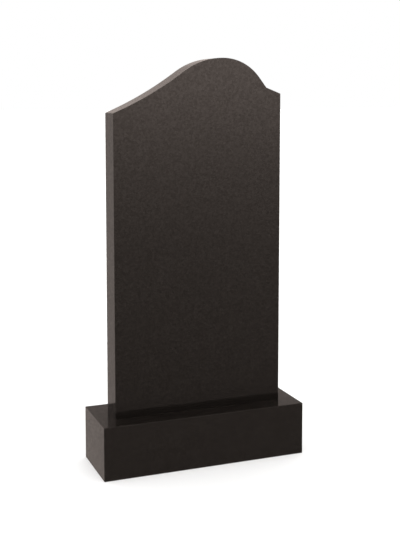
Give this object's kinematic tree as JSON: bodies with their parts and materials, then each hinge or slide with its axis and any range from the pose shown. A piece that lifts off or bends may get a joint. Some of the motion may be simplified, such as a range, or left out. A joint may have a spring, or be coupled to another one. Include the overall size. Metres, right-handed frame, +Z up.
{
  "type": "headstone",
  "caption": "Upright polished black granite headstone: a flat stele with an off-centre wave crest, standing on a rectangular plinth.",
  "frame": {"origin": "centre of the plinth's underside, on the bed it stands on", "axes": "+Z up, +X along the plinth towards the side with the notched shoulder, the inscription face looks along -Y"},
  "size_m": [0.6, 0.2, 1.15],
  "materials": {
    "plinth_granite": "fine-grained black granite, mirror polished on top and sides, sawn underneath",
    "stele_granite": "fine-grained black granite, mirror polished on both faces and both sides, with a softer polish along the crest"
  },
  "bodies": {
    "root": {"plinth": "plinth_granite", "stele": "stele_granite"}
  },
  "joints": []
}
